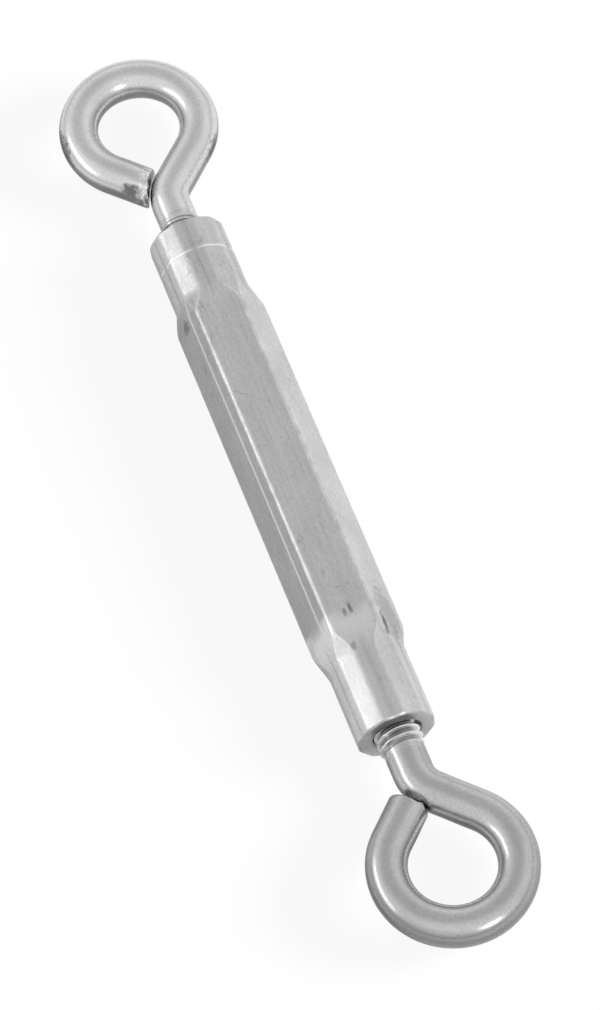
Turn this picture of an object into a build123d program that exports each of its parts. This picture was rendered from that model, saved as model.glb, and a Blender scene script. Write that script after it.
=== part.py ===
from build123d import *
import os
from math import cos, radians, sin, sqrt, tan

# Rigging turnbuckle, eye and eye: a closed hexagonal barrel swaged down to a round,
# tapped collar at each end, and two bent-wire eye bolts. The right-hand thread is at
# the +X end and the left-hand thread at the -X end, so one turn of the barrel draws
# both eyes in or lets both out. The bolts' threads are drawn as ridges of the thread's
# profile, one to each pitch, and the collars' as a plain bore that clears them.
#
# Frame: X runs along the barrel, Z is up, and the barrel lies on one flat at Z = 0.
# The origin is the middle of that flat. Sizes are millimetres and degrees.

os.makedirs("parts", exist_ok=True)

# ---- Driving dimensions ---------------------------------------------------------

# Thread, 5/16-18 unified, cut right-hand on one bolt and left-hand on the other
thread_diameter = 7.94
thread_pitch = 25.4 / 18
thread_gap = 0.13  # between the crest of a bolt's thread and its collar

# Barrel
barrel_length = 104.0
across_flats = 14.3
corner_flat = 0.5  # width of the narrow flat along each corner of the hexagon
collar_wall = 2.95  # from the thread's crest to the outside of the collar
collar_length = 13.5
shoulder_length = 5.5
swage_depth = 0.16  # depth of the twelve faint flats that the swage leaves on a collar
rim_chamfer = 0.35
bore_gap = 0.6  # round the thread's crest, in the wide bore between the collars
mouth_gap = 0.55  # round the thread's crest, at the countersunk mouth
mark_distance = 6.5  # from the left-hand end to the ring that marks it
mark_depth = 0.2

# Eye bolts
eye_opening = 14.6  # inside diameter of the eye
neck_angle = 45.0  # between the shank and the straight runs that close the eye
neck_radius = 6.0  # centre line of the bend from the shank into the eye
neck_length = 3.8  # plain wire between the thread and that bend
eye_end_gap = 0.45  # between the wire's cut end and the neck
eye_roll = -3.0  # turn of the eyes' plane about the barrel, from lying level
wire_end_chamfer = 0.4
thread_shown = 3.7  # thread that stands out of the collar
screwed_in_gap = 8.4  # between the two bolts' points when both are screwed right in
screwed_in_turns = 2.5  # turns left from here until the thread has run out
point_length = 2.0  # plain point that leads each bolt into its thread
point_chamfer = 0.8

# ---- Worked out from them -------------------------------------------------------

axis_height = across_flats / 2
half_barrel = barrel_length / 2
collar_start = half_barrel - collar_length
shoulder_start = collar_start - shoulder_length
collar_diameter = thread_diameter + 2 * collar_wall
collar_flats = collar_diameter - 2 * swage_depth
across_corner_flats = (2 * across_flats - corner_flat) / sqrt(3)

thread_radius = thread_diameter / 2
flank_angle = 30.0
pitch_radius = thread_radius - 0.3248 * thread_pitch
root_radius = thread_radius - 0.6134 * thread_pitch
ridge_top = thread_pitch / 8
ridge_foot = ridge_top + 2 * (thread_radius - root_radius) * tan(radians(flank_angle))
collar_bore_radius = thread_radius + thread_gap
bore_radius = thread_radius + bore_gap

wire_radius = pitch_radius  # rolled threads rise out of wire of their pitch diameter
eye_radius = eye_opening / 2 + wire_radius
thread_end = half_barrel + thread_shown
thread_start = screwed_in_gap / 2 + point_length + screwed_in_turns * thread_pitch
bend_start = thread_end + neck_length

screw_axis = Plane(origin=(0, 0, axis_height), x_dir=(0, 1, 0), z_dir=(1, 0, 0))
section_plane = Plane(origin=(0, 0, axis_height), x_dir=(1, 0, 0), z_dir=(0, -1, 0))
barrel_axis = Axis((0, 0, axis_height), (1, 0, 0))
eye_plane = Plane(
    origin=(0, 0, axis_height),
    x_dir=(1, 0, 0),
    z_dir=(0, sin(radians(-eye_roll)), cos(radians(-eye_roll))),
)


# ---- Barrel ---------------------------------------------------------------------


def twelve_sides(flats, corner_flats):
    """Corners of a twelve-sided outline with six flats up, down and at 60 degrees, and
    six between them: a round-looking collar, or a hexagon with its corners taken off."""
    near = flats / 2
    half_side = (corner_flats / 2 - near * cos(radians(30))) / sin(radians(30))
    corners = []
    for side in range(6):
        facing = radians(90 + 60 * side)
        for along in (-half_side, half_side):
            corners.append(
                (
                    near * cos(facing) - along * sin(facing),
                    near * sin(facing) + along * cos(facing),
                )
            )
    return corners


def swaged(ease):
    """Outline of the barrel: ease is 0 on a collar and 1 on the hexagon."""
    return twelve_sides(
        collar_flats + (across_flats - collar_flats) * ease,
        collar_flats + (across_corner_flats - collar_flats) * ease,
    )


shoulder_steps = 6
stations = [(half_barrel, 0.0)]
for step in range(shoulder_steps + 1):
    part_way = step / shoulder_steps
    ease = part_way * part_way * (3 - 2 * part_way)
    stations.append((collar_start - shoulder_length * part_way, ease))
stations += [(-place, ease) for place, ease in reversed(stations)]

with BuildPart() as hex_barrel:
    for place, ease in stations:
        with BuildSketch(screw_axis.offset(place)):
            with BuildLine():
                Polyline(*swaged(ease), close=True)
            make_face()
    loft(ruled=True)

    # Round the collars, and let the rounding fade out up the shoulders
    collar_radius = collar_diameter / 2
    corner_radius = across_flats / sqrt(3)
    with BuildSketch(section_plane):
        with BuildLine():
            for side in (1, -1):
                Polyline(
                    (side * half_barrel, 0),
                    (side * half_barrel, collar_radius - rim_chamfer),
                    (side * (half_barrel - rim_chamfer), collar_radius),
                    (side * collar_start, collar_radius),
                )
                Spline(
                    (side * collar_start, collar_radius),
                    (side * shoulder_start, corner_radius),
                    tangents=((-side, 0), (-side, 0)),
                )
            Line((shoulder_start, corner_radius), (-shoulder_start, corner_radius))
            Line((-half_barrel, 0), (half_barrel, 0))
        make_face()
    revolve(axis=barrel_axis, mode=Mode.INTERSECT)

    # The bore: a countersunk mouth and a collar bore at each end, wide in the middle
    mouth_radius = thread_radius + mouth_gap
    mouth_depth = mouth_radius - collar_bore_radius
    cone_end = collar_start - (bore_radius - collar_bore_radius)
    with BuildSketch(section_plane):
        with BuildLine():
            half_bore = [
                (half_barrel, 0),
                (half_barrel, mouth_radius),
                (half_barrel - mouth_depth, collar_bore_radius),
                (collar_start, collar_bore_radius),
                (cone_end, bore_radius),
            ]
            Polyline(*half_bore, *[(-x, y) for x, y in reversed(half_bore)], close=True)
        make_face()
    revolve(axis=barrel_axis, mode=Mode.SUBTRACT)

    # A shallow rolled ring marks the left-hand end
    mark_place = mark_distance - half_barrel
    mark_floor = collar_flats / 2 - mark_depth / 2
    with BuildSketch(section_plane):
        with BuildLine():
            Polyline(
                (mark_place, mark_floor),
                (mark_place - 2 * mark_depth, mark_floor + 2 * mark_depth),
                (mark_place + 2 * mark_depth, mark_floor + 2 * mark_depth),
                close=True,
            )
        make_face()
    revolve(axis=barrel_axis, mode=Mode.SUBTRACT)

hex_barrel.part.label = "hex_barrel"
export_step(hex_barrel.part, "parts/hex_barrel.step")


# ---- Eye bolts ------------------------------------------------------------------

turn_out = radians(neck_angle)
eye_centre = bend_start + neck_radius * tan(turn_out / 2) + eye_radius / sin(turn_out)
closing_run = (eye_radius - wire_radius) / tan(turn_out) - eye_end_gap / sin(2 * turn_out)

# Half the outline of the threaded shank, one ridge to each pitch, up to the plain wire
wire_step = (wire_radius - root_radius) * tan(radians(flank_angle))
ridges = int((thread_end - wire_step - thread_start - ridge_foot) / thread_pitch) + 1
shank_outline = [(thread_start, 0), (thread_start, root_radius)]
for ridge in reversed(range(ridges)):
    middle = thread_end - wire_step - ridge_foot / 2 - ridge * thread_pitch
    shank_outline += [
        (middle - ridge_foot / 2, root_radius),
        (middle - ridge_top / 2, thread_radius),
        (middle + ridge_top / 2, thread_radius),
        (middle + ridge_foot / 2, root_radius),
    ]
shank_outline += [(thread_end, wire_radius), (bend_start, wire_radius), (bend_start, 0)]

with BuildPart() as right_hand_eye_bolt:
    with BuildSketch(section_plane):
        with BuildLine():
            Polyline(*shank_outline, close=True)
        make_face()
    revolve(axis=barrel_axis)

    # The wire bends off the shank and back round the eye, to a chamfered cut end
    with BuildLine(eye_plane) as wire_path:
        neck = JernArc((bend_start, 0), (1, 0), neck_radius, neck_angle)
        eye_side = (eye_centre - eye_radius * sin(turn_out), eye_radius * cos(turn_out))
        run_in = Line(neck @ 1, eye_plane.from_local_coords(eye_side))
        around = JernArc(run_in @ 1, run_in % 1, eye_radius, -180 - 2 * neck_angle)
        PolarLine(around @ 1, closing_run, direction=around % 1)
    with BuildSketch(screw_axis.offset(bend_start)):
        Circle(wire_radius)
    sweep(path=wire_path.wire())
    cut_end = right_hand_eye_bolt.faces(Select.LAST).filter_by(GeomType.PLANE)
    chamfer(cut_end.sort_by(Axis.X)[-1].edges(), length=wire_end_chamfer)

right_hand_eye_bolt.part.label = "right_hand_eye_bolt"
export_step(right_hand_eye_bolt.part, "parts/right_hand_eye_bolt.step")

with BuildPart() as left_hand_eye_bolt:
    add(right_hand_eye_bolt.part.mirror(Plane.YZ))

left_hand_eye_bolt.part.label = "left_hand_eye_bolt"
export_step(left_hand_eye_bolt.part, "parts/left_hand_eye_bolt.step")

# The plain point at the inner end of each bolt, turned down to the root of its thread
with BuildPart() as right_hand_point:
    with BuildSketch(section_plane):
        with BuildLine():
            Polyline(
                (thread_start, 0),
                (thread_start, root_radius),
                (thread_start - point_length + point_chamfer, root_radius),
                (thread_start - point_length, root_radius - point_chamfer),
                (thread_start - point_length, 0),
                close=True,
            )
        make_face()
    revolve(axis=barrel_axis)

right_hand_point.part.label = "right_hand_point"
export_step(right_hand_point.part, "parts/right_hand_point.step")

with BuildPart() as left_hand_point:
    add(right_hand_point.part.mirror(Plane.YZ))

left_hand_point.part.label = "left_hand_point"
export_step(left_hand_point.part, "parts/left_hand_point.step")

print("eye centre from the middle:", round(eye_centre, 2))
print("thread from", round(thread_start, 2), "to", round(thread_end, 2))
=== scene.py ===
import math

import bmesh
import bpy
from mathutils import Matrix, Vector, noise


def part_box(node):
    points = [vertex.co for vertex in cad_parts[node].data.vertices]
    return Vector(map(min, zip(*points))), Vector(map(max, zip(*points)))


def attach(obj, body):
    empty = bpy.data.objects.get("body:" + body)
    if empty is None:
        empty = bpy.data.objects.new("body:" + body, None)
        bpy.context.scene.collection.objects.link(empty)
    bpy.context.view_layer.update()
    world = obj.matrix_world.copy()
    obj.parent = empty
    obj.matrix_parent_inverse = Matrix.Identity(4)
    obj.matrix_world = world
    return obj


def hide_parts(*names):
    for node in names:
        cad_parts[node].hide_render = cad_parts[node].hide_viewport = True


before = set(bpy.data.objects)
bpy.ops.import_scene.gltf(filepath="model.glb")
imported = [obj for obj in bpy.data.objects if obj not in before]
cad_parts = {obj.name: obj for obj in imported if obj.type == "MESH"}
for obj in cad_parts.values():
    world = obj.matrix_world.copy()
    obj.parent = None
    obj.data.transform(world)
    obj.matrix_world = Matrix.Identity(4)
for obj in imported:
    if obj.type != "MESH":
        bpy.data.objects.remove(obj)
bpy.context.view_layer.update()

# %% [markdown]
# A rigging turnbuckle is a closed, hexagonal barrel with a tapped collar at each end,
# and two bent-wire eye bolts that screw into it, one right-handed and one left-handed.
# The imported model gives the sizes and the joints. Here each piece is built again as a
# finer mesh in the same place, so that light finds soft edges, rolled threads and
# drawn wire where the plain solids have only exact faces.
# The imported pieces are kept, hidden.

# %% [markdown]
# Every size below is in millimetres, because the parts are small and a shop drawing
# would say so too. The overall sizes come from the imported boxes. The rest are the
# workshop sizes of a 5/16 inch turnbuckle.

# %% Sizes
MM = 0.001
barrel_low, barrel_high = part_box("hex_barrel")
half_barrel = barrel_high[0] / MM
across_flats = (barrel_high[2] - barrel_low[2]) / MM
axis_height = across_flats / 2
thread_pitch = 25.4 / 18
thread_radius = 3.97
thread_depth = 0.6134 * thread_pitch  # a unified thread's, like the share below
wire_radius = thread_radius - 0.3248 * thread_pitch  # the pitch line, as for rolling
thread_end = half_barrel + 3.7
thread_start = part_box("right_hand_eye_bolt")[0][0] / MM
collar_length, shoulder_length = 13.5, 5.5
collar_flats, collar_radius = 13.52, 6.92
thread_gap, mouth_gap, bore_gap = 0.13, 0.55, 0.6
rim_chamfer = 0.3
corner_flat = 0.5
across_corner_flats = (2 * across_flats - corner_flat) / math.sqrt(3)
print("barrel", round(2 * half_barrel, 2), "long,", round(across_flats, 2), "across flats")

# %% [markdown]
# All three pieces are made from rings of points, joined by quads. One helper turns
# rings into a mesh, one does so for rings that also say how worn each point is and how
# much light or shade is painted on it, and one places the finished piece in the scene:
# the pieces are drawn round the X axis, which the real parts turn about, and then lifted
# to the height of that axis above the floor.

# %% Helpers for rings
def smooth_step(value, start, end):
    part = min(max((value - start) / (end - start), 0.0), 1.0)
    return part * part * (3 - 2 * part)


def join_rings(mesh, rings, closed_loop=False, cap_start=False, cap_end=False):
    """Adds rings of points to a bmesh, with quads between neighbours."""
    rows = [[mesh.verts.new(point) for point in ring] for ring in rings]
    count = len(rows[0])
    pairs = list(zip(rows, rows[1:]))
    if closed_loop:
        pairs.append((rows[-1], rows[0]))
    for one, two in pairs:
        for j in range(count):
            k = (j + 1) % count
            mesh.faces.new((one[j], two[j], two[k], one[k]))
    for wanted, row in ((cap_start, rows[0]), (cap_end, rows[-1])):
        if wanted:
            centre = sum((v.co for v in row), Vector()) / count
            middle = mesh.verts.new(centre)
            for j in range(count):
                k = (j + 1) % count
                pair = (row[j], row[k]) if row is rows[0] else (row[k], row[j])
                mesh.faces.new((middle, *pair))
    return rows


def join_worn_and_shaded_rings(mesh, rings, **ends):
    """The same for rings of (point, wear and shade) pairs, with that value kept at each vertex.
    """
    wear_and_shade_layer = mesh.verts.layers.float.get("wear_and_shade")
    rows = join_rings(mesh, [[point for point, wear_and_shade in ring] for ring in rings], **ends)
    for row, ring in zip(rows, rings):
        for vert, (point, wear_and_shade) in zip(row, ring):
            vert[wear_and_shade_layer] = wear_and_shade


def finish_piece(mesh, name, smooth_angle):
    """Turns a bmesh drawn in millimetres round X into an object in place."""
    bmesh.ops.recalc_face_normals(mesh, faces=mesh.faces)
    data = bpy.data.meshes.new(name)
    mesh.to_mesh(data)
    mesh.free()
    data.transform(Matrix.Translation((0, 0, axis_height * MM)) @ Matrix.Scale(MM, 4))
    piece = bpy.data.objects.new(name, data)
    bpy.context.scene.collection.objects.link(piece)
    data.shade_smooth()
    data.set_sharp_from_angle(angle=math.radians(smooth_angle))
    print(name, len(data.polygons), "faces")
    return piece


# %% [markdown]
# The barrel is a hexagonal bar whose ends were swaged down to round collars. Swaging
# dies leave twelve faint flats on each collar: six run on into the faces of the
# hexagon, and six narrow up the shoulders and die in its corners. So every cross
# section is one twelve-sided outline, and only the distances of its two kinds of side
# change along the barrel. A soft minimum of those distances gives edges with a little
# roundness, as drawn and plated metal has.

# %% Barrel outline
def swage_ease(x):
    place = half_barrel - abs(x)
    return smooth_step(place, collar_length, collar_length + shoulder_length)


def side_distances(x):
    """Distances of the main sides and of the corner sides from the axis."""
    ease = swage_ease(x)
    main = collar_flats + (across_flats - collar_flats) * ease
    corner = collar_flats + (across_corner_flats - collar_flats) * ease
    return main / 2, corner / 2


def soft_minimum(values, crispness):
    least = min(values)
    total = sum(math.exp(-crispness * (value - least)) for value in values)
    return least - math.log(total) / crispness


def barrel_radius(x, angle):
    """How far out the barrel's surface is, at an angle in degrees from +Y."""
    main, corner = side_distances(x)
    reach = []
    for side in range(12):
        facing = math.cos(math.radians(angle - 30 * side))
        if facing > 0.5:
            reach.append((main if side % 2 else corner) / facing)

    # The collar's round swells clear of the corners up the shoulder
    place = half_barrel - abs(x)
    reach.append(collar_radius + 1.6 * smooth_step(place, collar_length, collar_length + 5))
    return soft_minimum(reach, crispness=45.0)


# Places across a side, from one edge at -1 to the other at 1, for most sides and for
# the one that has a drawing line along it
even = (-1, -0.97, -0.9, -0.8, -0.5, -0.12, -0.05, 0, 0.05, 0.12, 0.5, 0.8, 0.9, 0.97)
lined = (-1, -0.97, -0.9, -0.8, -0.6, -0.5, -0.46, -0.43, -0.405, -0.38, -0.355, -0.33,
         -0.29, -0.22, -0.12, -0.05, 0, 0.05, 0.12, 0.5, 0.8, 0.9, 0.97)


def ring_angles(x):
    """Angles that follow the edges between the sides, closer together near them."""
    main, corner = side_distances(x)
    angles = []
    for side in range(12):
        here, beside = (main, corner) if side % 2 else (corner, main)
        half_side = (beside - here * math.cos(math.radians(30))) / 0.5
        steps = lined if side == 5 else even
        angles += [30 * side + math.degrees(math.atan2(half_side * s, here)) for s in steps]
    return angles


# %% [markdown]
# The outline is then dressed with what the tools left: a shallow ring rolled round the
# left-hand collar to mark it, broken where a faint crease runs down the middle of each
# main side, and one drawing line along a face of the hexagon. They are hundredths of a
# millimetre deep, so they are added to the radius itself. The same bell-shaped curves
# say where the metal was rubbed bright or a highlight is painted (+), and where shade is
# painted (-), and that is kept for the finish: the crease and the face with the line get
# painted shade, and the upper faces of the right-hand shoulder get a painted highlight.

# %% Marks on the barrel
mark_place = 6.5 - half_barrel
crease_width, ring_width, line_width, edge_width = 0.25, 0.18, 0.2, 0.16
mark_depth, ripple_height = 0.05, 0.02
line_place = -1.5  # across its face
shoulder_highlight_start = 30.8  # where the painted highlight fades in, past this place along the barrel


def bell(distance, width):
    return math.exp(-((distance / width) ** 2))


def marked_point(x, angle):
    """The radius with the tools' marks, and how bright (+) or dull (-) they left it."""
    around = math.radians(angle)
    main, corner = side_distances(x)
    ease = swage_ease(x)
    from_middle = angle % 60 - 30
    across = math.tan(math.radians(from_middle)) * main

    # What the tools pressed in or raised
    crease = bell(across, crease_width) * (1 - ease)
    ring = bell(x - mark_place - 0.03 * math.sin(3 * around), ring_width)
    ring *= 1 - 0.9 * bell(across, 0.9)
    line = bell(across - line_place, line_width) if 120 < angle < 180 else 0.0
    ripple = noise.noise(Vector((x * 0.09, around * 1.1, 3.7))) - 0.8
    radius = barrel_radius(x, angle) + mark_depth * (line * ease - crease - ring)
    radius += ripple_height * ripple

    # What rubbing did to the plating, with the shade and the highlight painted on it. The main
    # sides meet at every
    # sixty degrees: the top one ends at 120, and the near upper one at 180
    worn = noise.noise(Vector((x * 0.6, around * 3, 9.1)))
    corner_half = (main - corner * math.cos(math.radians(30))) / 0.5
    along_corner = math.tan(math.radians(30 - abs(from_middle))) * corner - corner_half
    edge = bell(along_corner, edge_width) * (0.3 + 0.7 * worn) * (0.3 + 0.7 * ease)
    above_lower_side = 1 - smooth_step(angle, 176, 182)
    # A pale patch painted on the upper faces of the right-hand shoulder, as a highlight
    painted_shoulder_highlight = smooth_step(x + 0.05 * across * across, shoulder_highlight_start, shoulder_highlight_start + 0.8)
    painted_shoulder_highlight *= smooth_step(angle, 62, 68) * above_lower_side
    line *= 1 - painted_shoulder_highlight
    # Painted shade on the near upper face, the one with the drawing line
    painted_face_shade = ease * smooth_step(angle, 118, 124) * above_lower_side
    # The mark, the line and the edges are rubbed bright, and the crease is painted darker, as
    # shade
    wear_and_shade = ring + 0.6 * line * ease + edge - 0.35 * crease
    wear_and_shade += painted_shoulder_highlight * (0.1 + 0.35 * ease) - 0.42 * painted_face_shade * (1 - line) * (1 - painted_shoulder_highlight)
    # The chamfered ends are painted dark, as shade that takes away their highlight
    if half_barrel - abs(x) < 0.3:
        wear_and_shade = -0.45 + 0.3 * worn
    return radius, wear_and_shade


# %% [markdown]
# Inside, the collar is drilled, tapped and countersunk. The tapped thread is a fine
# wave in the radius that climbs one pitch a turn, right-handed at one end and
# left-handed at the other. Between the collars the bore is wide and plain.

# %% Barrel mesh
def tapped_radius(x, angle):
    """The bore at one end: countersink, tapped thread, and the wide bore."""
    place = half_barrel - abs(x)
    turn = abs(x) / thread_pitch - angle / 360
    from_crest = abs((turn + 0.5) % 1 - 0.5) * thread_pitch
    half_groove, tapped_depth, flank_slope = 0.14 * thread_pitch, 0.56 * thread_pitch, 1.73
    rise = min(max((from_crest - half_groove) * flank_slope, 0.0), tapped_depth)
    thread = thread_radius + thread_gap - rise
    mouth = thread_radius + mouth_gap - place
    wide = thread_radius + bore_gap - max(0.0, collar_length - place)
    return max(thread, mouth, wide)


def barrel_ring(x, angles, radius_at):
    """A ring of points, with each point's wear beside it."""
    ring = []
    for angle in angles:
        radius, wear_and_shade = radius_at(x, angle)
        around = math.radians(angle)
        ring.append(((x, radius * math.cos(around), radius * math.sin(around)), wear_and_shade))
    return ring


def trimmed_point(x, angle):
    """The outside, with a chamfer at each end."""
    radius, wear_and_shade = marked_point(x, angle)
    return radius - max(0.0, rim_chamfer - (half_barrel - abs(x))), wear_and_shade


def bore_point(x, angle):
    return tapped_radius(x, angle), -0.7


# Rings stand close together on the shoulders and over the mark, and in the collars' bores
half_places = [half_barrel - step for step in (0.0, 0.12, 0.35)]
half_places += [half_barrel - 1 - 0.74 * step for step in range(17)]
half_places += [half_barrel - collar_length - 0.2 * step for step in range(30)]
half_places += [half_barrel - 21 - step for step in range(31)]
mark_places = [mark_place + 0.08 * step for step in range(-5, 6)]
places = sorted([-place for place in half_places] + mark_places + [0.0] + half_places)
inner_places = [half_barrel - 0.14 * step for step in range(101)]
inner_places = inner_places + [0.0] + [-place for place in reversed(inner_places)]

rings = [barrel_ring(x, ring_angles(x), trimmed_point) for x in places]
rings += [barrel_ring(x, ring_angles(half_barrel), bore_point) for x in inner_places]
barrel_mesh = bmesh.new()
barrel_mesh.verts.layers.float.new("wear_and_shade")
join_worn_and_shaded_rings(barrel_mesh, rings, closed_loop=True)
barrel = finish_piece(barrel_mesh, "swaged_barrel", smooth_angle=24)
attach(barrel, "barrel")
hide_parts("hex_barrel")

# %% [markdown]
# An eye bolt starts as a length of steel wire. Its thread is rolled, not cut, so the
# crests stand above the wire and the roots lie below it. The grid of the threaded
# shank is itself a helix: every row climbs one pitch a turn, so each row keeps one
# place in the thread's profile, and crests and roots are as clean as if turned.

# %% Threaded shank
def thread_profile(x_turns):
    """Radius of the thread at a place in the pitch, in turns from a crest."""
    from_crest = abs((x_turns + 0.5) % 1 - 0.5) * thread_pitch
    fall = (from_crest - thread_pitch / 16) * math.sqrt(3)
    return thread_radius - min(max(fall, 0.0), thread_depth)


def threaded_shank(mesh):
    """A right-hand thread from its point to the plain wire, closed at both ends."""
    wear_and_shade_layer = mesh.verts.layers.float.get("wear_and_shade")
    rows_per_turn, columns = 16, 48
    core_radius = wire_radius - 0.015  # inside the plain wire that covers its end
    first = thread_start - 2 * thread_pitch
    turns = int((thread_end + 1.0 - first) / thread_pitch) + 2
    grid = []
    for row in range(turns * rows_per_turn):
        line = []
        for column in range(columns):
            climb = row / rows_per_turn + column / columns
            x = first + climb * thread_pitch
            angle = 2 * math.pi * column / columns
            profile = thread_profile(x / thread_pitch - column / columns)
            fade = 1 - smooth_step(x, thread_end - 1.5, thread_end - 0.1)
            radius = core_radius + (profile - core_radius) * fade
            vert = mesh.verts.new((x, radius * math.cos(angle), radius * math.sin(angle)))
            # Painted highlight on the crests and painted shade in the roots
            vert[wear_and_shade_layer] = 1.2 * (radius - wire_radius) * fade - 0.2
            line.append(vert)
        grid.append(line)
    for row in range(len(grid) - 1):
        for column in range(columns - 1):
            mesh.faces.new((grid[row][column], grid[row + 1][column],
                            grid[row + 1][column + 1], grid[row][column + 1]))
        if row + 1 + rows_per_turn < len(grid):
            mesh.faces.new((grid[row][-1], grid[row + 1][-1],
                            grid[row + 1 + rows_per_turn][0], grid[row + rows_per_turn][0]))
    for place, side in ((thread_start, -1), (thread_end + 0.6, 1)):
        everything = mesh.verts[:] + mesh.edges[:] + mesh.faces[:]
        bmesh.ops.bisect_plane(mesh, geom=everything, plane_co=(place, 0, 0),
                               plane_no=(side, 0, 0), clear_outer=True)
        rim = [edge for edge in mesh.edges if edge.is_boundary
               and all(abs(v.co.x - place) < 1e-4 for v in edge.verts)]
        bmesh.ops.edgenet_fill(mesh, edges=rim)


# %% [markdown]
# The plain end of the wire is bent twice: forty-five degrees off the shank, then back
# round a mandrel, until its cut end meets the neck. The line of the wire is worked out
# as runs and arcs, with a frame that stays in the plane of the eye, so the tube round
# it never twists.

# %% Line of the bent wire
neck_radius, neck_length, eye_opening, eye_end_gap = 6.0, 3.8, 14.6, 0.45
wire_overlap = 0.25  # plain wire that reaches back over the end of the thread
neck_turn = math.radians(45)
eye_radius = eye_opening / 2 + wire_radius
bend_start = thread_end + neck_length
eye_centre = bend_start + neck_radius * math.tan(neck_turn / 2)
eye_centre += eye_radius / math.sin(neck_turn)
closing_run = (eye_radius - wire_radius) / math.tan(neck_turn)
closing_run -= eye_end_gap / math.sin(2 * neck_turn)


def wire_line():
    """Stations along the wire: (length so far, point, direction) in the eye's plane."""
    stations = []
    along, here, heading = 0.0, Vector((thread_end - wire_overlap, 0.0)), 0.0

    def run(length, steps):
        nonlocal along, here
        for step in range(steps):
            stations.append((along, here.copy(), heading))
            here = here + Vector((math.cos(heading), math.sin(heading))) * length / steps
            along += length / steps

    def bend(radius, turn, steps):
        nonlocal heading
        for step in range(steps):
            chord = 2 * radius * math.sin(abs(turn) / steps / 2)
            heading += turn / steps / 2
            run(chord, 1)
            stations[-1] = (*stations[-1][:2], heading - turn / steps / 2)
            heading += turn / steps / 2

    run(neck_length + wire_overlap, 6)
    bend(neck_radius, neck_turn, 14)
    run((eye_radius * math.cos(neck_turn) - here.y) / math.sin(neck_turn), 8)
    bend(eye_radius, -math.pi - 2 * neck_turn, 96)
    run(closing_run, 14)
    stations.append((along, here.copy(), heading))
    return stations


bent_line = wire_line()
print("bent wire", round(bent_line[-1][0], 1), "long, eye centre at", round(eye_centre, 2))

# %% [markdown]
# The tube is not quite round, and its cropped end is not square. On the left-hand bolt
# the shears tore the end: it leans, with a nick, crumpled metal and bright scratches. On
# the right-hand bolt only a small flake stands out. Where the wire curves away to the
# inside and the outside of the eye, and on its underside, shade is painted darker into
# the plating, and the right-hand bolt is painted darker all over its eye, most on the
# outside. These few tenths of a millimetre make the two eyes look bent and cut rather
# than drawn with compasses.

# %% Eye
eye_roll = math.radians(-3.0)


def wire_sections():
    """Stations with an inset each: the bent line, then a finer run to the cut end."""
    last, end_point, end_heading = bent_line[-1]
    direction = Vector((math.cos(end_heading), math.sin(end_heading)))
    sections = [(*station, 0.0) for station in bent_line if station[0] <= last - 5]
    cut = [(last - 4.8 + 0.2 * step, 0) for step in range(23)]
    cut += [(last - 0.2, 0.05), (last - 0.08, 0.15), (last, 0.36)]
    for along, inset in cut:
        sections.append((along, end_point + direction * (along - last), end_heading, inset))
    return sections


def painted_eye_shade(across, rise, painted_darkening):
    """Painted shade, as values below zero: across is 1 outside the eye and -1 inside it."""
    outer_rim = smooth_step(across, 0.91, 0.98)
    inner_rim = smooth_step(-across, 0.94, 0.99)
    outside = smooth_step(across, 0.5, 0.9)
    underside = smooth_step(-rise, 0, 0.5)
    return -0.9 * outer_rim - 0.6 * inner_rim - painted_darkening * (1 + 1.6 * outside) - 0.1 * underside


def eye_tube(mesh, shear, torn, burr, painted_darkening):
    """The bent wire as a tube of rings, with a cropped end."""
    columns = 64
    last = bent_line[-1][0]
    up = Vector((0, 0, 1))
    roll = Matrix.Rotation(eye_roll, 4, "X")
    rings = []
    for along, point, heading, inset in wire_sections():
        forward = Vector((math.cos(heading), math.sin(heading), 0))
        side = Vector((-math.sin(heading), math.cos(heading), 0))
        ring = []
        for column in range(columns):
            angle = 2 * math.pi * column / columns
            across, rise = math.cos(angle), math.sin(angle)

            # Out of round, with the torn end's nick and crumpled metal
            uneven = noise.noise(Vector((along * 0.25, across, rise))) - 0.6
            nick = math.hypot((along - last + 2.0) / 2.1, (angle - 0.6) / 0.45)
            crumpled = abs(noise.noise(Vector((across * 4, rise * 4, along * 1.6))))
            frayed = torn * smooth_step(along, last - 2.4, last - 0.8) * (angle < 2.2)
            radius = wire_radius - inset + 0.03 * uneven
            radius -= torn * 0.32 * (1 - smooth_step(nick, 0.4, 1.0)) + 0.5 * frayed * crumpled

            # The cut leans and is jagged, or has a flake standing out of it
            slant = shear * smooth_step(along, last - 4.8, last) * (1 + across) ** 2
            jag = 0.3 * noise.noise(Vector((across * 2.5, rise * 2.5, along))) * torn
            jag *= smooth_step(along, last - 1.6, last)
            flake = burr * bell(angle - 2.3, 0.16) * smooth_step(along, last - 0.5, last - 0.1)
            place = Vector((point.x, point.y, 0)) + forward * (slant + jag + flake)
            place += (side * across + up * rise) * radius

            scratches = 0.9 * frayed * smooth_step(0.12 - crumpled, 0.0, 0.08)
            # Bright scratches at the torn end, and painted shade along the eye's rims and
            # underside
            ring.append((roll @ place, scratches + painted_eye_shade(across, rise, painted_darkening)))
        rings.append(ring)
    join_worn_and_shaded_rings(mesh, rings, cap_start=True, cap_end=True)


# %% [markdown]
# The left-hand bolt is the mirror image of the right-hand one, thread and all. Mirroring
# the finished mesh turns its faces inside out, so their normals are worked out again.

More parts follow.
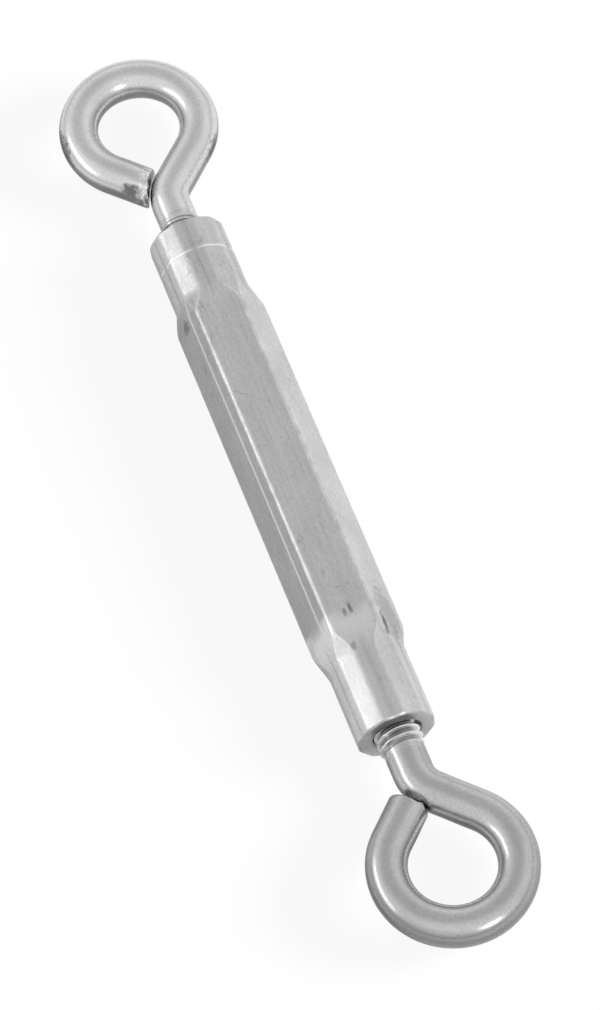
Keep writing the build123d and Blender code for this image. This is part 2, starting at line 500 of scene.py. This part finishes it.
# %% Both eye bolts
bolts = []
for side in ("right_hand", "left_hand"):
    bolt_mesh = bmesh.new()
    bolt_mesh.verts.layers.float.new("wear_and_shade")
    threaded_shank(bolt_mesh)
    if side == "right_hand":
        # The right-hand bolt gets painted shade all over its eye
        eye_tube(bolt_mesh, shear=0.02, torn=0.1, burr=0.35, painted_darkening=0.32)
    else:
        eye_tube(bolt_mesh, shear=0.45, torn=1.0, burr=0.0, painted_darkening=0.0)
        bmesh.ops.scale(bolt_mesh, vec=(-1, 1, 1), verts=bolt_mesh.verts)
    bolt = finish_piece(bolt_mesh, f"{side}_bent_wire_eye", smooth_angle=32)
    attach(bolt, f"{side}_bolt")
    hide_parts(f"{side}_eye_bolt")
    bolts.append(bolt)

# %% [markdown]
# A finish is a small tree of nodes. Five helpers keep the trees readable: one starts a
# material, one makes a noise in millimetres that can be stretched along the barrel, one
# turns a value into a colour between stops, one mixes two colours, and one does sums.

# %% Helpers for finishes
def node_tree(name):
    material = bpy.data.materials.new(name)
    material.use_nodes = True
    nodes = material.node_tree.nodes
    return material, nodes, material.node_tree.links, nodes["Principled BSDF"]


def noise_node(nodes, links, vector, scale, stretch=(1, 1, 1), detail=4.0, rough=0.55):
    mapping = nodes.new("ShaderNodeMapping")
    mapping.inputs["Scale"].default_value = [1 / MM * s for s in stretch]
    texture = nodes.new("ShaderNodeTexNoise")
    texture.inputs["Scale"].default_value = scale
    texture.inputs["Detail"].default_value = detail
    texture.inputs["Roughness"].default_value = rough
    links.new(vector, mapping.inputs["Vector"])
    links.new(mapping.outputs["Vector"], texture.inputs["Vector"])
    return texture.outputs["Fac"]


def ramp_node(nodes, links, value, stops):
    ramp = nodes.new("ShaderNodeValToRGB")
    while len(ramp.color_ramp.elements) < len(stops):
        ramp.color_ramp.elements.new(0.5)
    for element, (place, grey) in zip(ramp.color_ramp.elements, stops):
        element.position = place
        element.color = (*grey, 1) if isinstance(grey, tuple) else (grey, grey, grey, 1)
    links.new(value, ramp.inputs["Fac"])
    return ramp.outputs["Color"]


def mix_node(nodes, links, mode, amount, one, two):
    mix = nodes.new("ShaderNodeMix")
    mix.data_type = "RGBA"
    mix.blend_type = mode
    if hasattr(amount, "is_linked"):
        links.new(amount, mix.inputs[0])
    else:
        mix.inputs[0].default_value = amount
    links.new(one, mix.inputs[6])
    links.new(two, mix.inputs[7])
    return mix.outputs[2]


def math_node(nodes, links, operation, *values):
    node = nodes.new("ShaderNodeMath")
    node.operation = operation
    for socket, value in zip(node.inputs, values):
        if hasattr(value, "is_linked"):
            links.new(value, socket)
        else:
            socket.default_value = value
    return node.outputs[0]


# %% [markdown]
# Barrel and wire are both zinc plated: a pale grey metal with cloudy patches where the
# plating is thicker, a fine mottle, and a grain along the barrel from drawing. Each of
# those is a noise of its own scale. Their sum also moves the roughness and a shallow
# relief, because plating that looks mottled is uneven to the light as well.

# %% Zinc plating
def plated_zinc(name, base, rough_low, rough_high, grain, mottling, bump):
    """The plating, as its material, its nodes and the colour that marks can darken."""
    material, nodes, links, shader = node_tree(name)
    place = nodes.new("ShaderNodeTexCoord").outputs["Object"]
    cloud = noise_node(nodes, links, place, 0.16, (0.6, 1, 1), 5)
    streak = noise_node(nodes, links, place, 2.2, grain, 3)
    fine = noise_node(nodes, links, place, 2.6, (0.6, 1, 1), 3, 0.7)
    tone = ramp_node(nodes, links, cloud, [(0.3, tuple(c * 0.88 for c in base)), (0.7, base)])
    grainy = ramp_node(nodes, links, streak, [(0.25, 0.86), (0.75, 1.0)])
    mottle = ramp_node(nodes, links, fine, [(0.3, 1 - mottling), (0.62, 1.0)])
    colour = mix_node(nodes, links, "MULTIPLY", 1.0, tone, grainy)
    colour = mix_node(nodes, links, "MULTIPLY", 1.0, colour, mottle)
    mixed = mix_node(nodes, links, "MIX", 0.5, cloud, fine)
    rough = ramp_node(nodes, links, mixed, [(0.35, rough_high), (0.65, rough_low)])
    links.new(rough, shader.inputs["Roughness"])
    shader.inputs["Metallic"].default_value = 1.0
    relief = nodes.new("ShaderNodeBump")
    relief.inputs["Strength"].default_value = bump
    relief.inputs["Distance"].default_value = 0.00005
    links.new(mix_node(nodes, links, "MIX", 0.5, streak, fine), relief.inputs["Height"])
    links.new(relief.outputs["Normal"], shader.inputs["Normal"])
    return {"material": material, "nodes": nodes, "links": links, "shader": shader,
            "place": place, "colour": colour}


# %% [markdown]
# Handling leaves its own marks. A stain is a dark patch about one place on the surface,
# with an edge broken up by noise. Specks lie wherever a noise is high. Hairline marks
# are the contour lines of a slow noise, let through only in a few patches. All of them
# are tied to the metal, so they stay where they are from every side.

# %% Marks in the plating
def stain(finish, centre, size, tone):
    nodes, links = finish["nodes"], finish["links"]
    mapping = nodes.new("ShaderNodeMapping")
    mapping.inputs["Scale"].default_value = [1 / (MM * s) for s in size]
    mapping.inputs["Location"].default_value = [-c / s for c, s in zip(centre, size)]
    links.new(finish["place"], mapping.inputs["Vector"])
    reach = nodes.new("ShaderNodeVectorMath")
    reach.operation = "LENGTH"
    links.new(mapping.outputs["Vector"], reach.inputs[0])
    broken = noise_node(nodes, links, finish["place"], 1.3, detail=4, rough=0.65)
    edge = math_node(nodes, links, "MULTIPLY_ADD", broken, 1.6, -0.8)
    far = math_node(nodes, links, "ADD", reach.outputs["Value"], edge)
    dark = ramp_node(nodes, links, far, [(0.55, tone), (1.0, 1.0)])
    finish["colour"] = mix_node(nodes, links, "MULTIPLY", 1.0, finish["colour"], dark)


def specks(finish, scale, stretch, threshold, tone):
    nodes, links = finish["nodes"], finish["links"]
    value = noise_node(nodes, links, finish["place"], scale, stretch, 6, 0.7)
    dark = ramp_node(nodes, links, value, [(threshold, 1.0), (threshold + 0.06, tone)])
    finish["colour"] = mix_node(nodes, links, "MULTIPLY", 1.0, finish["colour"], dark)


def hairlines(finish, scale, stretch, tone):
    nodes, links = finish["nodes"], finish["links"]
    slow = noise_node(nodes, links, finish["place"], scale, stretch, 3, 0.5)
    contour = ramp_node(nodes, links, slow, [(0.49, 1.0), (0.5, tone), (0.51, 1.0)])
    patches = noise_node(nodes, links, finish["place"], 0.13, detail=2)
    let_through = ramp_node(nodes, links, patches, [(0.52, 0.0), (0.6, 1.0)])
    finish["colour"] = mix_node(nodes, links, "MULTIPLY", let_through, finish["colour"], contour)


def show_wear_and_shade(finish):
    """Ends the tree: the mesh's wear and its painted light and shade make the plating brighter
    or darker.
    """
    nodes, links = finish["nodes"], finish["links"]
    wear_and_shade = nodes.new("ShaderNodeAttribute")
    wear_and_shade.attribute_name = "wear_and_shade"
    half_wear_and_shade = math_node(nodes, links, "MULTIPLY_ADD", wear_and_shade.outputs["Fac"], 0.5, 0.5)
    # Darker for dull metal and painted shade, brighter for rubbed metal and painted highlight
    dulled_and_shaded = ramp_node(nodes, links, half_wear_and_shade, [(0.0, 0.35), (0.5, 1.0)])
    rubbed_and_highlighted = ramp_node(nodes, links, half_wear_and_shade, [(0.5, 0.0), (1.0, 1.0)])
    bright = nodes.new("ShaderNodeRGB")
    bright.outputs[0].default_value = (0.9, 0.9, 0.89, 1)
    colour = mix_node(nodes, links, "MULTIPLY", 1.0, finish["colour"], dulled_and_shaded)
    colour = mix_node(nodes, links, "MIX", rubbed_and_highlighted, colour, bright.outputs[0])
    links.new(colour, finish["shader"].inputs["Base Color"])


# %% [markdown]
# The barrel's mesh carries its wear and its painted light and shade: the mark, the
# drawing line and the edges were rubbed bright, the right-hand shoulder has a painted
# highlight, the crease, the chamfered ends and the face with the line have painted shade,
# and the bore is darker. Stains are given by where they lie, in millimetres, how far they
# reach and how dark they are.

# %% Barrel finish
dull_zinc = plated_zinc("dull_zinc_barrel", (0.71, 0.71, 0.705), 0.33, 0.45,
                        (0.04, 1, 1), 0.18, 0.5)
specks(dull_zinc, 0.55, (0.35, 1, 1), 0.66, 0.5)
specks(dull_zinc, 1.4, (0.6, 1, 1), 0.66, 0.7)
hairlines(dull_zinc, 0.2, (0.8, 1, 1), 0.7)
for centre, size, tone in (
    ((31.0, -0.9, 14.3), (1.0, 0.45, 1.0), 0.45),
    ((30.6, 0.2, 14.3), (1.3, 0.4, 1.0), 0.4),
    ((35.4, 4.9, 13.1), (3.2, 0.6, 0.9), 0.25),
    ((37.2, -1.7, 14.0), (0.9, 0.6, 1.0), 0.6),
    ((33.5, -7.4, 8.0), (3.0, 1.2, 0.8), 0.7),
    # This one darkens the upper face on the +Y side over the right-hand shoulder
    ((32.5, 6.2, 10.7), (6.5, 3.0, 4.0), 0.7),
    ((-33.0, -6.3, 10.3), (1.6, 1.0, 1.2), 0.6),
    ((-34.0, -7.0, 9.0), (5.0, 1.5, 2.6), 0.9),
):
    stain(dull_zinc, centre, size, tone)
show_wear_and_shade(dull_zinc)
barrel.data.materials.append(dull_zinc["material"])
print("barrel finish has", len(dull_zinc["nodes"]), "nodes")

# %% [markdown]
# The wire is smoother than the barrel, since it was drawn through a polished die, and
# the outside of the left-hand eye has three darker patches. The plain points of the bolts
# have the same finish.

# %% Wire finish
bright_zinc = plated_zinc("bright_zinc_wire_finish", (0.76, 0.763, 0.767), 0.22, 0.3,
                          (1, 1, 1), 0.1, 0.08)
specks(bright_zinc, 0.7, (1, 1, 1), 0.68, 0.6)
for centre, size, tone in (
    ((-77.5, -13.9, 8.7), (4.6, 1.5, 2.2), 0.35),
    ((-67.5, 11.5, 6.6), (4.2, 3.4, 2.2), 0.35),
    ((-63.8, -6.0, 9.3), (2.2, 2.0, 1.3), 0.3),
):
    stain(bright_zinc, centre, size, tone)
show_wear_and_shade(bright_zinc)
for bolt in bolts:
    bolt.data.materials.append(bright_zinc["material"])
for node in ("right_hand_point", "left_hand_point"):
    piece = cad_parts[node]
    piece.data.materials.clear()
    piece.data.materials.append(bright_zinc["material"])
print("wire finish on", len(bolts), "bolts and their points")

# %% [markdown]
# The floor is a pale sweep, and the surroundings are a light tent, white at the sides
# and a little darker round an opening high up towards the left-hand end and low down
# near the floor. What the lens and any clear material see is a plain white of strength
# one, and gloss sees the tent and some of the floor's white. The floor keeps a share of
# its own shading, so the shadow stays.

# %% Floor and surroundings
def seen_rays(nodes, links):
    """The light path's node, and 1 for rays from the lens or through clear material."""
    rays = nodes.new("ShaderNodeLightPath")
    seen = math_node(nodes, links, "MAXIMUM", rays.outputs["Is Camera Ray"],
                     rays.outputs["Is Transmission Ray"])
    return rays, seen


floor_mesh = bmesh.new()
bmesh.ops.create_grid(floor_mesh, x_segments=2, y_segments=2, size=3.0)
floor_data = bpy.data.meshes.new("pale_floor")
floor_mesh.to_mesh(floor_data)
floor_mesh.free()
floor = bpy.data.objects.new("pale_floor", floor_data)
bpy.context.scene.collection.objects.link(floor)
floor.location.z = -0.0001

floor_material, nodes, links, shader = node_tree("pale_floor_finish")
shader.inputs["Base Color"].default_value = (0.7, 0.7, 0.7, 1)
shader.inputs["Roughness"].default_value = 0.8
glow = nodes.new("ShaderNodeEmission")
glow.inputs["Color"].default_value = (1, 1, 1, 1)
glow.inputs["Strength"].default_value = 1.0

# White for the lens and a little of it for gloss, with the floor's own shading beneath
gloss_share, glow_share = 0.3, 0.9
rays, seen = seen_rays(nodes, links)
gloss = math_node(nodes, links, "MULTIPLY", rays.outputs["Is Glossy Ray"], gloss_share)
share = math_node(nodes, links, "MAXIMUM", seen, gloss)
share = math_node(nodes, links, "MULTIPLY", share, glow_share)
blend = nodes.new("ShaderNodeMixShader")
links.new(share, blend.inputs["Fac"])
links.new(shader.outputs[0], blend.inputs[1])
links.new(glow.outputs[0], blend.inputs[2])
links.new(blend.outputs[0], nodes["Material Output"].inputs["Surface"])
floor_data.materials.append(floor_material)

world = bpy.data.worlds.new("white_surroundings")
bpy.context.scene.world = world
world.use_nodes = True
nodes, links = world.node_tree.nodes, world.node_tree.links
backdrop = nodes["Background"]
backdrop.inputs["Color"].default_value = (1, 1, 1, 1)
rays, seen = seen_rays(nodes, links)
direction = nodes.new("ShaderNodeTexCoord").outputs["Generated"]
opening = nodes.new("ShaderNodeVectorMath")
opening.operation = "DOT_PRODUCT"
opening.inputs[1].default_value = Vector((-0.35, 0.1, 0.93)).normalized()
links.new(direction, opening.inputs[0])
upper = ramp_node(nodes, links, opening.outputs["Value"], [(0.75, 1.0), (0.97, 0.67)])
split = nodes.new("ShaderNodeSeparateXYZ")
links.new(direction, split.inputs[0])
lower = ramp_node(nodes, links, split.outputs["Z"], [(0.05, 0.6), (0.3, 1.0)])
tent = mix_node(nodes, links, "MULTIPLY", 1.0, upper, lower)

# Gloss sees the tent, other rays meet an even grey, and the lens sees white
ambient = 0.55
more = math_node(nodes, links, "SUBTRACT", tent, ambient)
level = math_node(nodes, links, "MULTIPLY_ADD", rays.outputs["Is Glossy Ray"], more, ambient)
white = math_node(nodes, links, "SUBTRACT", 1.0, level)
level = math_node(nodes, links, "MULTIPLY_ADD", seen, white, level)
links.new(level, backdrop.inputs["Strength"])

# %% [markdown]
# The camera looks down on the turnbuckle from a little to one side, with a long lens
# so that the barrel hardly tapers. Its place is worked out from the barrel: how far
# its near end tilts towards the lens, how far it is rolled on its axis, and the way it
# leans across the frame.

# %% Camera
lean, tilt, roll = math.radians(66.91), math.radians(27.7), math.radians(6.6)
along = Vector((math.cos(lean), math.sin(lean)))
beside = Vector((math.sin(lean), -math.cos(lean)))

# The scene's axes as the lens sees them, each as how far right, down and away it points
x_seen = Vector((along.x * math.cos(tilt), along.y * math.cos(tilt), -math.sin(tilt)))
up_seen = Vector((-along.x * math.sin(tilt), -along.y * math.sin(tilt), -math.cos(tilt)))
z_seen = up_seen * math.cos(roll) + Vector((beside.x, beside.y, 0)) * math.sin(roll)
y_seen = z_seen.cross(x_seen)
right, down, away = Matrix((x_seen, y_seen, z_seen)).transposed()

# The barrel's middle stands this far right, down and away from the lens, in metres
middle_right, middle_down, middle_away = -0.00203, -0.00449, 0.7253
middle = Vector((0, 0, axis_height * MM))
eye_point = middle - right * middle_right - down * middle_down - away * middle_away
camera_data = bpy.data.cameras.new("camera")
camera_data.sensor_fit = "AUTO"
camera_data.sensor_width = 36
camera_data.lens = 151.5
camera_data.clip_start, camera_data.clip_end = 0.01, 20
camera = bpy.data.objects.new("camera", camera_data)
bpy.context.scene.collection.objects.link(camera)
camera.matrix_world = Matrix((
    (right.x, -down.x, -away.x, eye_point.x),
    (right.y, -down.y, -away.y, eye_point.y),
    (right.z, -down.z, -away.z, eye_point.z),
    (0, 0, 0, 1),
))
bpy.context.scene.camera = camera
print("camera at", [round(v, 3) for v in eye_point])

# %% [markdown]
# Three soft lamps do the modelling. The key lamp stands on the far side, so that the
# shadow falls on the near side and the near face of the barrel has a darker floor to
# reflect. The metal does not see that lamp itself. It sees two low and weaker ones, a
# small one off the near end and a long one along the near side, which draw the pale
# streaks on the wire and on the collars. Each is given by how bright its surface is.

# %% Lamps
def soft_lamp(name, direction, distance, size, brightness):
    data = bpy.data.lights.new(name, "AREA")
    data.shape = "RECTANGLE"
    data.size, data.size_y = size
    data.energy = brightness * math.pi * size[0] * size[1]
    lamp = bpy.data.objects.new(name, data)
    bpy.context.scene.collection.objects.link(lamp)
    lamp.location = middle + Vector(direction).normalized() * distance
    lamp.rotation_mode = "QUATERNION"
    lamp.rotation_quaternion = (middle - lamp.location).to_track_quat("-Z", "Y")
    print(name, "at", [round(v, 2) for v in lamp.location])
    return lamp


key_lamp = soft_lamp("key_lamp", (0.3, 0.85, 0.45), 0.9, (0.35, 0.25), 62.0)
key_lamp.visible_glossy = False
soft_lamp("near_end_lamp", (0.8, 0.3, 0.45), 0.9, (0.24, 0.15), 6.0)
soft_lamp("near_side_lamp", (-0.25, -0.83, 0.43), 0.9, (0.8, 0.13), 3.0)
bpy.context.scene.view_settings.view_transform = "Standard"
